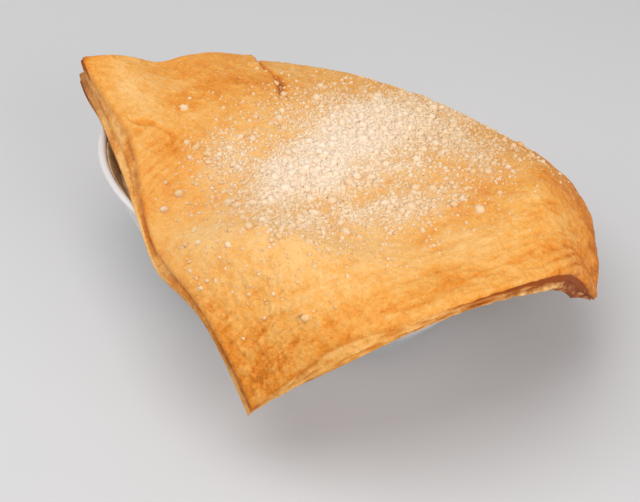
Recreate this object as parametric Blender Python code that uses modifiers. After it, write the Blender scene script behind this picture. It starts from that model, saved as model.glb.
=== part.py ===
"""Chicken pot pie: an oval porcelain dish under a square sheet of baked puff pastry.

Metres, +Z up. The dish stands on its foot ring with its long side along X. The sheet is
laid cornerwise over it: its left and right corners reach out past the dish's ends, and
its front and back corners hang down outside its long sides. The origin is the middle of
the whole pie's footprint, at the underside of the foot ring.
"""
import math
import random

import bmesh
import bpy
import numpy as np
from mathutils import Vector, noise

# Dish
RIM_HALF_LENGTH = 0.129
RIM_HALF_WIDTH = 0.090
DISH_HEIGHT = 0.079
WALL = 0.0046
FLOOR_TOP = 0.008
FOOT_SHARE = 0.61           # the foot's size as a share of the rim's
WALL_BULGE = 0.22           # how far the wall swells out below its flaring rim
FOOT_HEIGHT = 0.005
FOOT_RING_WIDTH = 0.006
FOOT_RECESS = 0.0025
LIP_ROUND = 0.0022
DISH_STEPS = 48

# Filling
GAP = 0.0003                # clearance between touching pieces
SIDE_GAP = 0.00036          # the same round the filling, before the oval is stretched
SAUCE_LINE = 0.066          # height of the sauce at the wall
FILLING_SLOPE = 0.030       # width over which it rises to the crust

# Pastry sheet before it is draped: its four corners seen from above
RIGHT_CORNER = (0.2115, 0.0405)
BACK_CORNER = (-0.004, 0.180)
LEFT_CORNER = (-0.1455, -0.010)
FRONT_CORNER = (0.0805, -0.178)
RIGHT_EDGE_BOW = 0.007      # how far each cut edge bows outward at its middle
BACK_EDGE_BOW = 0.0025
LEFT_EDGE_BOW = 0.002
FRONT_EDGE_BOW = 0.0005
LEFT_EDGE_INSET = 0.0022    # the top of the left edge bows in by this much
LEFT_EDGE_SPLAY = 0.036     # its lower layers spread out, as a share of half a side
LEFT_TIP_SET_BACK = 0.055   # its lower layers end short of the tip by this share
HALF_SIDE = 0.125           # half a side of the flat sheet
RIGHT_CORNER_ROUND = 0.007  # how far the right corner's tip is rounded off
RIGHT_TIP_THINNING = 0.62   # the share of its thickness that the right tip loses

# Where the top of a cut edge draws in, or its foot spreads: the middle of the stretch and
# its reach along the edge, from -1 to 1, and how far
LEFT_TOP_DRAWN_IN = ((0.48, 0.28, 0.0060), (-0.12, 0.34, -0.0034), (1.0, 0.14, -0.0030))
FRONT_TOP_DRAWN_IN = ((-0.55, 0.26, 0.0078), (0.44, 0.18, 0.0030))
LEFT_FOOT_SPREAD = (
    (-0.60, 0.26, -0.0024),
    (-0.15, 0.30, 0.0032),
    (0.62, 0.18, -0.0020),
    (0.90, 0.10, 0.0032),
    (1.00, 0.20, -0.0044),
)

# Where the whole sheet lifts or sinks: middle and reach on the sheet, and height
SHEET_SHIFTS = (
    ((0.45, -1.00), (0.36, 0.30), 0.0050),
    ((1.00, -1.00), (0.13, 0.13), -0.0048),
)

# Hollows in the cut side near its ends: middle and reach on the sheet, and depth
END_HOLLOWS = (
    ((0.88, -1.00), (0.15, 0.12), 0.0034),
    ((-1.00, 0.98), (0.10, 0.09), 0.0032),
)

# Broad swells and hollows of the top: middle and reach on the sheet, and height
TOP_SWELLS = (
    ((-0.64, 1.00), (0.10, 0.20), -0.0038),
    ((-0.87, 1.00), (0.12, 0.14), 0.0022),
    ((-0.36, 0.96), (0.14, 0.20), 0.0018),
)

DOME_HEIGHT = 0.017
CRUST_OVER_RIM = 0.0073
BEND_LENGTH = 0.0187        # length over which the sheet bends past the rim

# The drape round the dish, one row for each corner and each edge's middle: where it is on
# the sheet, the slope it ends at in degrees, its extra lift over the rim, and its
# thickness at the cut
DRAPE = (
    ((1, -1), 70, 0.021, 0.0125),       # right corner
    ((1, 0), 37, 0.001, 0.0090),
    ((1, 1), 78, 0.000, 0.0080),        # back corner
    ((0, 1), 70, 0.0005, 0.0080),
    ((-1, 1), -49, 0.018, 0.0155),      # left corner
    ((-1, 0), 18, -0.002, 0.0095),
    ((-1, -1), 65, 0.026, 0.0065),      # front corner
    ((0, -1), 1, 0.015, 0.0068),
)
SHEET_CELLS = 44
DRAPE_STEPS = 20
UNDERSIDE_BLEND = 0.020     # width over which the flat underside turns into the drape
SIDE_CUTS = 3               # rows of points between the upper and lower faces
SIDE_BULGE = 0.0015         # the cut side swells out by this much
GROOVE_DEPTH = 0.0006       # and draws in between its two lips
LAYER_ROUGHNESS = 0.0009    # unevenness of the flaky cut side
SURFACE_ROLL = 0.0009       # soft unevenness of the top

# Fold across the top near the back left edge: where it starts and ends on the sheet, and
# the height of its step
FOLD_START = (-0.14, 1.02)
FOLD_END = (-0.19, 0.48)
FOLD_HEIGHT = 0.0034
FOLD_WIDTH = 0.10

# Grated cheese crumbs baked onto the top, in sheet coordinates from -1 to 1
CRUMB_COUNT = 64
CRUMB_CENTRE = (-0.10, 0.04)
CRUMB_REACH = (0.62, 0.50)
CRUMB_RADIUS = (0.0029, 0.0016)         # the first and the last
CRUMB_ROUGHNESS = 0.25                  # share by which a crumb's points vary
CRUMB_RISE = 0.15                       # a crumb's middle above the crust, in radii
CRUMB_SPACING = 0.0012
SHORTEST_EDGE = 0.00003
SEED = 11


def smoothstep(x):
    x = np.clip(x, 0.0, 1.0)
    return x * x * (3.0 - 2.0 * x)


def clear_scene():
    for item in list(bpy.data.objects):
        bpy.data.objects.remove(item)


def make_collection(name):
    group = bpy.data.collections.new(name)
    bpy.context.scene.collection.children.link(group)
    return group


def make_material(name, colour, roughness):
    material = bpy.data.materials.new(name)
    material.use_nodes = True
    shader = material.node_tree.nodes["Principled BSDF"]
    shader.inputs["Base Color"].default_value = (*colour, 1.0)
    shader.inputs["Roughness"].default_value = roughness
    shader.inputs["Metallic"].default_value = 0.0
    return material


def add_object(name, mesh, group, material=None):
    item = bpy.data.objects.new(name, mesh)
    group.objects.link(item)
    if material:
        mesh.materials.append(material)
    return item


def apply_modifiers(item):
    depsgraph = bpy.context.evaluated_depsgraph_get()
    mesh = bpy.data.meshes.new_from_object(item.evaluated_get(depsgraph))
    item.modifiers.clear()
    item.data = mesh


# ---------------------------------------------------------------- dish and filling

def wall_share(z):
    """The outer wall's size at height z, as a share of the rim's."""
    rise = min(z / (DISH_HEIGHT - LIP_ROUND), 1.0)
    bulge = WALL_BULGE * math.sin(math.pi * rise) * (1.0 - rise)
    return FOOT_SHARE + (1.0 - FOOT_SHARE) * (rise + bulge)


def mean_rim():
    return math.sqrt(RIM_HALF_LENGTH * RIM_HALF_WIDTH)


def inner_radius(z):
    """The mean radius of the dish's inner wall at height z."""
    return mean_rim() * wall_share(z) - WALL


def wall_heights():
    """The heights of the inner wall's rings, shared by the dish and the filling."""
    return [float(z) for z in np.linspace(FLOOR_TOP + 0.005, SAUCE_LINE, 6)]


def turned_oval(name, profile, group, material):
    """Turn a profile round Z at the rim's mean radius, then stretch it to the oval."""
    mesh = bpy.data.meshes.new(name)
    points = [(r, 0.0, z) for r, z in profile]
    edges = [(i, i + 1) for i in range(len(points) - 1)]
    mesh.from_pydata(points, edges, [])
    item = add_object(name, mesh, group, material)
    screw = item.modifiers.new("Turn", "SCREW")
    screw.steps = DISH_STEPS
    screw.render_steps = DISH_STEPS
    screw.use_merge_vertices = True
    screw.merge_threshold = 0.00005
    apply_modifiers(item)
    for vertex in item.data.vertices:
        vertex.co.x *= RIM_HALF_LENGTH / mean_rim()
        vertex.co.y *= RIM_HALF_WIDTH / mean_rim()
    item.data.shade_smooth()
    item.data.set_sharp_from_angle(angle=math.radians(35))
    return item


def dish_profile():
    """From the middle of the floor, up the inside, over the lip and down to the foot."""
    radius = mean_rim()
    lip_middle = radius - 0.5 * WALL
    floor_radius = inner_radius(FLOOR_TOP)
    profile = [
        (0.0, FLOOR_TOP),
        (floor_radius - 0.010, FLOOR_TOP),
        (floor_radius - 0.003, FLOOR_TOP + 0.0012),
    ]
    for z in wall_heights():
        profile.append((inner_radius(z), z))
    for angle in (180, 150, 120, 90, 60, 30, 0):
        turn = math.radians(angle)
        across = lip_middle + 0.5 * WALL * math.cos(turn)
        profile.append((across, DISH_HEIGHT - LIP_ROUND + LIP_ROUND * math.sin(turn)))
    for z in np.linspace(SAUCE_LINE, FOOT_HEIGHT + 0.0015, 7):
        profile.append((radius * wall_share(float(z)), float(z)))
    foot = radius * FOOT_SHARE
    profile += [
        (foot, FOOT_HEIGHT - 0.001),
        (foot, 0.0008),
        (foot - 0.0008, 0.0),
        (foot - FOOT_RING_WIDTH, 0.0),
        (foot - FOOT_RING_WIDTH - 0.0012, FOOT_RECESS),
        (0.0, FOOT_RECESS),
    ]
    return profile


def make_dish(group):
    porcelain = make_material("porcelain", (0.80, 0.79, 0.78), 0.18)
    return turned_oval("dish", dish_profile(), group, porcelain)


def make_filling(group):
    """Thick sauce and chicken that fill the dish, up to the crust except near the wall."""
    sauce = make_material("sauce", (0.42, 0.24, 0.10), 0.45)
    edge = inner_radius(SAUCE_LINE) - SIDE_GAP
    drop = DISH_HEIGHT - SAUCE_LINE
    profile = [(0.0, DISH_HEIGHT), (0.5 * (edge - FILLING_SLOPE), DISH_HEIGHT)]
    for share in np.linspace(0.0, 1.0, 5):
        across = edge - FILLING_SLOPE * (1.0 - float(share))
        profile.append((across, DISH_HEIGHT - drop * float(smoothstep(share))))
    for z in reversed(wall_heights()[:-1]):
        profile.append((inner_radius(z) - SIDE_GAP, z))
    floor_radius = inner_radius(FLOOR_TOP)
    profile += [
        (floor_radius - 0.003 - SIDE_GAP, FLOOR_TOP + 0.0012 + GAP),
        (floor_radius - 0.010 - SIDE_GAP, FLOOR_TOP + GAP),
        (0.0, FLOOR_TOP + GAP),
    ]
    return turned_oval("filling", profile, group, sauce)


# ---------------------------------------------------------------- pastry sheet

def rim_distance(angle):
    """How far the rim's outer edge is from the middle, in a given direction."""
    across = np.hypot(RIM_HALF_WIDTH * np.cos(angle), RIM_HALF_LENGTH * np.sin(angle))
    return RIM_HALF_LENGTH * RIM_HALF_WIDTH / across


def outward(start, end):
    """The unit normal of a sheet side that runs anticlockwise from start to end."""
    along = (end - start) / np.linalg.norm(end - start)
    return np.array([along[1], -along[0]])


def flat_sheet(u, v, left_inset=0.0):
    """A point of the undraped sheet, for u and v from -1 to 1."""
    right, back, left, front = (
        np.array(corner) for corner in (RIGHT_CORNER, BACK_CORNER, LEFT_CORNER, FRONT_CORNER)
    )
    s = 0.5 * (np.asarray(u, dtype=float)[..., None] + 1.0)
    t = 0.5 * (np.asarray(v, dtype=float)[..., None] + 1.0)
    point = (1 - s) * (1 - t) * front + s * (1 - t) * right + s * t * back + (1 - s) * t * left
    point = point + s * 4 * t * (1 - t) * RIGHT_EDGE_BOW * outward(right, back)
    point = point + t * 4 * s * (1 - s) * BACK_EDGE_BOW * outward(back, left)
    left_bow = LEFT_EDGE_BOW - left_inset
    point = point + (1 - s) ** 4 * 4 * t * (1 - t) * left_bow * outward(left, front)
    point = point + (1 - t) * 4 * s * (1 - s) * FRONT_EDGE_BOW * outward(front, right)
    near_right = smoothstep((s - 0.88) / 0.12) * smoothstep((0.12 - t) / 0.12)
    return point * (1.0 - RIGHT_CORNER_ROUND * near_right / np.linalg.norm(right))


def blend_round(angle, row_angles, values):
    """Blend one value for each direction smoothly round the full turn."""
    turn = 2.0 * np.pi
    order = np.argsort(np.mod(row_angles, turn))
    at = np.mod(row_angles, turn)[order]
    level = np.asarray(values, dtype=float)[order]
    at = np.concatenate([[at[-1] - turn], at, [at[0] + turn]])
    level = np.concatenate([[level[-1]], level, [level[0]]])
    angle = np.mod(angle, turn)
    row = np.clip(np.searchsorted(at, angle, side="right") - 1, 0, len(at) - 2)
    share = smoothstep((angle - at[row]) / (at[row + 1] - at[row]))
    return level[row] + (level[row + 1] - level[row]) * share


def drape_angles():
    """The directions, seen from the dish's middle, of the rows of DRAPE."""
    places = np.array([row[0] for row in DRAPE], dtype=float)
    points = flat_sheet(places[:, 0], places[:, 1])
    return np.arctan2(points[:, 1], points[:, 0])


def right_tip(u, v):
    """One at the right corner of the sheet, falling to zero a little way in from it."""
    return smoothstep((u - 0.84) / 0.16) * smoothstep((-v - 0.84) / 0.16)


def patches(u, v, rows):
    """The sum of soft-edged oval patches of the sheet."""
    total = np.zeros(np.shape(u))
    for middle, reach, height in rows:
        across = (u - middle[0]) / reach[0]
        along = (v - middle[1]) / reach[1]
        total = total + height * np.exp(-(across ** 2 + along ** 2))
    return total


def draped_top(u, v):
    """The smooth upper face: domed over the dish, bending down or up past the rim."""
    rows = drape_angles()
    flat = flat_sheet(u, v, LEFT_EDGE_INSET)
    distance = np.hypot(flat[..., 0], flat[..., 1])
    angle = np.arctan2(flat[..., 1], flat[..., 0])
    rim = rim_distance(angle)
    final_slope = blend_round(angle, rows, [math.radians(row[1]) for row in DRAPE])
    lift = blend_round(angle, rows, [row[2] for row in DRAPE])
    share = np.minimum(distance / rim, 1.0)
    height = DISH_HEIGHT + CRUST_OVER_RIM + DOME_HEIGHT * (1 - share ** 2) + lift * share ** 3
    rim_slope = np.arctan((2.0 * DOME_HEIGHT - 3.0 * lift) / rim)
    past_rim = np.maximum(distance - rim, 0.0)
    steps = (np.arange(DRAPE_STEPS) + 0.5) / DRAPE_STEPS
    bend = 1.0 - np.exp(-past_rim[..., None] * steps / BEND_LENGTH)
    slope = rim_slope[..., None] + (final_slope - rim_slope)[..., None] * bend
    reach = np.minimum(distance, rim) + np.cos(slope).mean(-1) * past_rim
    height = height - np.sin(slope).mean(-1) * past_rim + patches(u, v, SHEET_SHIFTS)
    return np.stack([reach * np.cos(angle), reach * np.sin(angle), height], -1)


def top_normal(u, v, step=0.02):
    along_u = draped_top(u + step, v) - draped_top(u - step, v)
    along_v = draped_top(u, v + step) - draped_top(u, v - step)
    normal = np.cross(along_u, along_v)
    return normal / np.linalg.norm(normal, axis=-1, keepdims=True)


def roll(u, v, scale, seed):
    """Smooth noise over the sheet, from about -1 to 1."""
    pairs = zip(np.ravel(u), np.ravel(v))
    values = [noise.noise(Vector((a * scale, b * scale, seed))) for a, b in pairs]
    return np.array(values).reshape(np.shape(u)) * 1.6


def fold_relief(u, v):
    """A fold that runs in from the back left edge, its left flap higher than its right."""
    start = np.array(FOLD_START)
    end = np.array(FOLD_END)
    along = (end - start) / np.linalg.norm(end - start)
    du = u - start[0]
    dv = v - start[1]
    run = (du * along[0] + dv * along[1]) / np.linalg.norm(end - start)
    side = du * along[1] - dv * along[0]
    fade = 1.0 - smoothstep(run)
    flap = np.where(side > 0.0, np.exp(-side / FOLD_WIDTH), 0.0)
    return FOLD_HEIGHT * fade * flap


def relief(u, v):
    soft = SURFACE_ROLL * roll(u, v, 2.6, 3.1) + 0.6 * SURFACE_ROLL * roll(u, v, 6.0, 8.4)
    return soft + fold_relief(u, v) + patches(u, v, TOP_SWELLS)


def stretches(along, places):
    """How far an edge is moved at a point along it, from a list of soft-ended stretches."""
    total = np.zeros(np.shape(along))
    for middle, reach, amount in places:
        total = total + amount * np.exp(-((along - middle) / reach) ** 2)
    return total / HALF_SIDE


def drawn_in(u, v):
    """Sheet coordinates of the upper face, drawn in along its left and front edges."""
    left = stretches(v, LEFT_TOP_DRAWN_IN) * smoothstep((-u - 0.7) / 0.3)
    front = stretches(u, FRONT_TOP_DRAWN_IN) * smoothstep((-v - 0.7) / 0.3)
    return u + left, v + front


def top_face(u, v):
    return draped_top(*drawn_in(u, v)) + top_normal(u, v) * relief(u, v)[..., None]


def bottom_face(u, v):
    """The lower face: level inside the rim, then one thickness below the drape."""
    rows = np.array([math.atan2(row[0][1], row[0][0]) for row in DRAPE])
    thickness = blend_round(np.arctan2(v, u), rows, [row[3] for row in DRAPE])
    foot = LEFT_EDGE_SPLAY + stretches(v, LEFT_FOOT_SPREAD)
    near_left = smoothstep((-u - 0.6) / 0.4)
    set_back = LEFT_TIP_SET_BACK * near_left * smoothstep((v - 0.6) / 0.4)
    thickness = thickness * (1.0 - RIGHT_TIP_THINNING * right_tip(u, v))
    hanging = draped_top(u - foot * near_left, v - set_back) - top_normal(u, v) * thickness[..., None]
    flat = flat_sheet(u, v)
    level = np.concatenate([flat, np.full(flat.shape[:-1] + (1,), DISH_HEIGHT + GAP)], -1)
    distance = np.hypot(flat[..., 0], flat[..., 1])
    rim = rim_distance(np.arctan2(flat[..., 1], flat[..., 0]))
    share = smoothstep((distance - rim) / UNDERSIDE_BLEND)[..., None]
    return level * (1.0 - share) + hanging * share


def edge_direction(u, v, step=0.02):
    """The direction that points from the sheet's middle out past its edge."""
    outer = draped_top(u * (1 + step), v * (1 + step))
    along = outer - draped_top(u * (1 - step), v * (1 - step))
    return along / np.maximum(np.linalg.norm(along, axis=-1, keepdims=True), 1e-9)


def layer_relief(u, v, layer):
    """How far the cut side stands out: a soft swell with a groove, hollow at two ends."""
    swell = SIDE_BULGE * np.sin(np.pi * layer)
    groove = GROOVE_DEPTH * np.cos(4.0 * np.pi * (layer - 0.5))
    hollow = patches(u, v, END_HOLLOWS) * np.sin(np.pi * layer) ** 2
    uneven = LAYER_ROUGHNESS * roll(u + layer, v - layer, 5.0, 1.7)
    inside = (layer > 0.01) & (layer < 0.99)
    return np.where(inside, swell - groove - hollow + uneven, 0.0)


def sheet_points(u, v, layer):
    """A point of the pastry, with layer from 0 on the lower face to 1 on the upper."""
    lower = bottom_face(u, v)
    upper = top_face(u, v)
    point = lower + (upper - lower) * layer[..., None]
    return point + edge_direction(u, v) * layer_relief(u, v, layer)[..., None]


def sheet_grid():
    """The sheet before it is placed: u and v across, and one layer unit of height."""
    bm = bmesh.new()
    bmesh.ops.create_grid(bm, x_segments=SHEET_CELLS, y_segments=SHEET_CELLS, size=1.0)
    extruded = bmesh.ops.extrude_face_region(bm, geom=list(bm.faces))
    upper = [item for item in extruded["geom"] if isinstance(item, bmesh.types.BMVert)]
    bmesh.ops.translate(bm, verts=upper, vec=(0.0, 0.0, 1.0))
    sides = [edge for edge in bm.edges if abs(edge.verts[0].co.z - edge.verts[1].co.z) > 0.5]
    bmesh.ops.subdivide_edges(bm, edges=sides, cuts=SIDE_CUTS, use_grid_fill=True)
    bmesh.ops.recalc_face_normals(bm, faces=list(bm.faces))
    return bm


def join_level_faces(bm):
    """Make one face of the level underside that lies on the filling and the rim."""
    level = DISH_HEIGHT + GAP
    inside = [face for face in bm.faces if all(abs(v.co.z - level) < 1e-7 for v in face.verts)]
    joined = bmesh.ops.dissolve_faces(bm, faces=inside)
    bmesh.ops.triangulate(bm, faces=joined["region"])


def pastry_sheet(group, material):
    bm = sheet_grid()
    coords = np.array([vertex.co for vertex in bm.verts])
    for vertex, place in zip(bm.verts, sheet_points(coords[:, 0], coords[:, 1], coords[:, 2])):
        vertex.co = Vector(place)
    join_level_faces(bm)
    mesh = bpy.data.meshes.new("crust")
    bm.to_mesh(mesh)
    bm.free()
    mesh.shade_smooth()
    mesh.set_sharp_from_angle(angle=math.radians(50))
    return add_object("crust", mesh, group, material)


def crumb_places(rng):
    """Crumb middles and sizes, largest first, clear of each other."""
    places = []
    while len(places) < CRUMB_COUNT:
        share = len(places) / (CRUMB_COUNT - 1)
        radius = CRUMB_RADIUS[0] + (CRUMB_RADIUS[1] - CRUMB_RADIUS[0]) * share ** 0.6
        out = math.sqrt(rng.random())
        turn = rng.uniform(0.0, 2.0 * math.pi)
        u = np.array(CRUMB_CENTRE[0] + CRUMB_REACH[0] * out * math.cos(turn))
        v = np.array(CRUMB_CENTRE[1] + CRUMB_REACH[1] * out * math.sin(turn))
        middle = Vector(top_face(u, v) + top_normal(u, v) * radius * CRUMB_RISE)
        if all((middle - other).length > radius + size + CRUMB_SPACING for other, size in places):
            places.append((middle, radius))
    return places


def make_crumbs(group):
    rng = random.Random(SEED)
    for number, (middle, radius) in enumerate(crumb_places(rng)):
        bm = bmesh.new()
        bmesh.ops.create_icosphere(bm, subdivisions=1, radius=radius)
        for vertex in bm.verts:
            vertex.co *= 1.0 + rng.uniform(-CRUMB_ROUGHNESS, CRUMB_ROUGHNESS)
            vertex.co += middle
        mesh = bpy.data.meshes.new("crumb_%d" % number)
        bm.to_mesh(mesh)
        bm.free()
        crumb = add_object(mesh.name, mesh, group)
        crumb.hide_render = True
        crumb.display_type = "WIRE"


def clean_seams(mesh):
    """Close up the shortest edges that the union leaves where crumbs meet the crust."""
    bm = bmesh.new()
    bm.from_mesh(mesh)
    bmesh.ops.triangulate(bm, faces=list(bm.faces))
    bmesh.ops.dissolve_degenerate(bm, edges=list(bm.edges), dist=SHORTEST_EDGE)
    bm.to_mesh(mesh)
    bm.free()


def make_crust(group):
    """The pastry with its crumbs, joined into one solid."""
    pastry = make_material("pastry", (0.78, 0.47, 0.19), 0.5)
    crust = pastry_sheet(group, pastry)
    crumbs = make_collection("crumbs")
    make_crumbs(crumbs)
    union = crust.modifiers.new("Join crumbs", "BOOLEAN")
    union.operation = "UNION"
    union.operand_type = "COLLECTION"
    union.collection = crumbs
    apply_modifiers(crust)
    clean_seams(crust.data)
    for crumb in list(crumbs.objects):
        bpy.data.objects.remove(crumb)
    bpy.data.collections.remove(crumbs)
    return crust


def centre_on_origin(items):
    """Move the pieces together so that the middle of their footprint is the origin."""
    corners = np.array([vertex.co[:] for item in items for vertex in item.data.vertices])
    low = corners.min(0)
    high = corners.max(0)
    middle = Vector((0.5 * (low[0] + high[0]), 0.5 * (low[1] + high[1]), low[2]))
    for item in items:
        for vertex in item.data.vertices:
            vertex.co -= middle


def main():
    clear_scene()
    group = make_collection("chicken_pot_pie")
    items = [make_dish(group), make_filling(group), make_crust(group)]
    centre_on_origin(items)


main()
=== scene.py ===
"""Dresses a packed chicken pot pie: porcelain dish, sauce, puff pastry and cheese crumbs."""
import math

import bmesh
import bpy
import numpy as np
from bpy.props import FloatProperty, FloatVectorProperty, IntProperty, PointerProperty
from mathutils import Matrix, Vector


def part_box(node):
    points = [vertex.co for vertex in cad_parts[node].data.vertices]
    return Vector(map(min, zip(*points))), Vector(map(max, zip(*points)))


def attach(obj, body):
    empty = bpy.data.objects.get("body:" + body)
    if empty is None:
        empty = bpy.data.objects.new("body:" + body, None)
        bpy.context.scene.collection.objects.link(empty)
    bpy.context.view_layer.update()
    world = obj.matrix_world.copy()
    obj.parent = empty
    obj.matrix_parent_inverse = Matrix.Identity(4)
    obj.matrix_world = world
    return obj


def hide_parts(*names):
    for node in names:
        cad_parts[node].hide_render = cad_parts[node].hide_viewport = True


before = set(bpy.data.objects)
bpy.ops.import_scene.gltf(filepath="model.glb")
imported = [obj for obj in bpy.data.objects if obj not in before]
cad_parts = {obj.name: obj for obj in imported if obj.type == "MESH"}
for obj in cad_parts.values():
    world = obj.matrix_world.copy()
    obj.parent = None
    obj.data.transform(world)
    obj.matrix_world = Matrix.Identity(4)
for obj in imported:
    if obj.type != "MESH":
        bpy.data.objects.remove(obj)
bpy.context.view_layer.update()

bl_info = {
    "name": "Chicken Pot Pie",
    "version": (1, 0, 0),
    "blender": (4, 5, 0),
    "location": "View3D > Sidebar > Pot Pie",
    "description": "Makes the dish, sauce, pastry and crumbs of an oval pot pie",
    "category": "Object",
}

DISH_LOW, DISH_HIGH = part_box("dish")
MIDDLE = Vector((0.5 * (DISH_LOW.x + DISH_HIGH.x), 0.5 * (DISH_LOW.y + DISH_HIGH.y), 0.0))
RIM_HALF_LENGTH = 0.5 * (DISH_HIGH.x - DISH_LOW.x)
RIM_HALF_WIDTH = 0.5 * (DISH_HIGH.y - DISH_LOW.y)
DISH_HEIGHT = DISH_HIGH.z
MEAN_RIM = math.sqrt(RIM_HALF_LENGTH * RIM_HALF_WIDTH)
OVAL = np.array((RIM_HALF_LENGTH / MEAN_RIM, RIM_HALF_WIDTH / MEAN_RIM, 1.0))

# Dish and sauce, in metres; the foot and the wall's bulge are shares of the rim's radius
WALL = 0.0046
FLOOR_TOP = 0.008
FOOT_SHARE = 0.61
WALL_BULGE = 0.22
FOOT_HEIGHT = 0.005
FOOT_RING_WIDTH = 0.006
FOOT_RECESS = 0.0025
LIP_ROUND = 0.0022
GAP = 0.0003
SAUCE_LINE = 0.066
SAUCE_GAP = 0.00036
SAUCE_SLOPE = 0.030
SAUCE_LUMPS = 0.0007
FLOOR_ROUND = 0.010
LIP_START = 0.074
OVAL_STEPS = 160

# Film of sauce on the inner wall: the stretch it covers in degrees, how far its top is above
# the sauce, how uneven that is, and its thickness
FILM_STRETCH = (165.0, 262.0)
FILM_TOP = 0.0112
FILM_UNEVENNESS = 0.0006
FILM_THICKNESS = 0.0007

# Pastry sheet before it is draped, seen from above with the dish's middle at the origin
RIGHT_CORNER = (0.2115, 0.0405)
BACK_CORNER = (-0.004, 0.180)
LEFT_CORNER = (-0.1455, -0.010)
FRONT_CORNER = (0.0805, -0.178)
RIGHT_EDGE_BOW = 0.007
BACK_EDGE_BOW = 0.0025
LEFT_EDGE_BOW = 0.002
FRONT_EDGE_BOW = 0.0005
LEFT_EDGE_INSET = 0.0022
LEFT_EDGE_SPLAY = 0.036
LEFT_TIP_SET_BACK = 0.055
HALF_SIDE = 0.125
RIGHT_CORNER_ROUND = 0.007
RIGHT_TIP_THINNING = 0.62
DOME_HEIGHT = 0.017
CRUST_OVER_RIM = 0.0073
BEND_LENGTH = 0.0187
DRAPE_STEPS = 16
UNDERSIDE_BLEND = 0.020

# One row for each corner and each edge's middle: where it is on the sheet, the slope it
# ends at in degrees, its extra lift over the rim, and its thickness at the cut
DRAPE = (
    ((1, -1), 70, 0.021, 0.0125),
    ((1, 0), 37, 0.001, 0.0090),
    ((1, 1), 78, 0.000, 0.0080),
    ((0, 1), 70, 0.0005, 0.0080),
    ((-1, 1), -49, 0.018, 0.0155),
    ((-1, 0), 18, -0.002, 0.0095),
    ((-1, -1), 65, 0.026, 0.0065),
    ((0, -1), 1, 0.015, 0.0068),
)

# Where the top of a cut edge draws in, or its foot spreads: the middle of the stretch and
# its reach along the edge, from -1 to 1, and how far
LEFT_TOP_DRAWN_IN = ((0.48, 0.28, 0.0060), (-0.12, 0.34, -0.0034), (1.0, 0.14, -0.0030))
FRONT_TOP_DRAWN_IN = ((-0.55, 0.26, 0.0078), (0.44, 0.18, 0.0030), (0.66, 0.15, 0.0040))
LEFT_FOOT_SPREAD = (
    (-0.60, 0.26, -0.0024),
    (-0.15, 0.30, 0.0032),
    (0.62, 0.18, -0.0020),
    (0.90, 0.10, 0.0032),
    (1.00, 0.20, -0.0044),
)

# Where the whole sheet lifts or sinks: middle and reach on the sheet, and height
SHEET_SHIFTS = (
    ((0.45, -1.00), (0.36, 0.30), 0.0050),
    ((1.00, -1.00), (0.13, 0.13), -0.0048),
)

# Hollows in the cut side near its ends: middle and reach on the sheet, and depth
END_HOLLOWS = (
    ((0.88, -1.00), (0.15, 0.12), 0.0034),
    ((-1.00, 0.98), (0.10, 0.09), 0.0032),
)

# Broad swells and hollows of the top: middle and reach on the sheet, and height
TOP_SWELLS = (
    ((-0.64, 1.00), (0.10, 0.20), -0.0038),
    ((-0.87, 1.00), (0.12, 0.14), 0.0022),
    ((-0.36, 0.96), (0.14, 0.20), 0.0018),
)

# Fold that runs in from the back left edge: its ends on the sheet, the height and reach of its
# flap, and the depth and width of the gap beside it
FOLD_START = (-0.14, 1.02)
FOLD_END = (-0.19, 0.48)
FOLD_HEIGHT = 0.0034
FOLD_WIDTH = 0.10
FOLD_GAP_DEPTH = 0.0034
FOLD_GAP_WIDTH = 0.012

# Crease that arcs across the left corner: its middle, radius and width on the sheet, its
# depth, and the radius, width and depth of the shallow hollow inside it
ARC_MIDDLE = (-1.02, 0.34)
ARC_RADIUS = 0.248
ARC_WIDTH = 0.017
ARC_DEPTH = 0.0014
ARC_HOLLOW_RADIUS = 0.18
ARC_HOLLOW_WIDTH = 0.06
ARC_HOLLOW_DEPTH = 0.0004

# Small folds: middle and reach on the sheet; the wave's start and its rise along u and v, in
# radians; how much it sways, how fast along u and v, and the seed for that; height
SMALL_FOLDS = (
    ((-0.91, 0.28), (0.11, 0.24), (-42.0, -42.0, 120.0), (3.0, 7.0, 7.0, 6), 0.00052),
    ((0.57, -0.93), (0.16, 0.07), (125.0, -21.25, 125.0), (1.8, 8.0, 3.0, 10), 0.00085),
    ((0.86, -0.64), (0.10, 0.26), (180.0, -180.0, 0.0), (2.4, 6.0, 6.0, 7), 0.00040),
)

# Rings round the right corner: distance from it and reach, turns of the wave, in radians, for
# each unit of the sheet, and height
CORNER_RINGS = (0.26, 0.12, 74.0, 0.00018)

# Where the layers of the front edge spread out, so that the cut goes on as the top
SPLAY = ((-0.55, -1.0), (0.42, 0.2))

# Broad soft unevenness of the top: bumps for each unit of the sheet, height, and seed
SURFACE_ROLLS = ((2.6, 0.0009, 3), (6.0, 0.0007, 4))
ROLL_OFFSET = 40.0

# The cut side: how far it swells out and its groove draws in, the length of its leaves and
# how many lie over each other, each on the left side and elsewhere
SIDE_SWELL = (0.0021, 0.0015)
SIDE_GROOVE = (0.0010, 0.0006)
LEAF_LENGTH = (0.018, 0.014)
LEAF_ROWS = (2.8, 5.5)
SHRED_LENGTH = 0.0018
EDGE_ROUND_REACH = 0.006
CHEESE_THICKNESS = 0.0011

# How much closer together the sheet's cells lie at its edges than on average
EDGE_CROWDING = 0.30

# Numbers that side_place gives the left and right sides
LEFT_SIDE = -14.0
RIGHT_SIDE = 14.0

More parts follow.
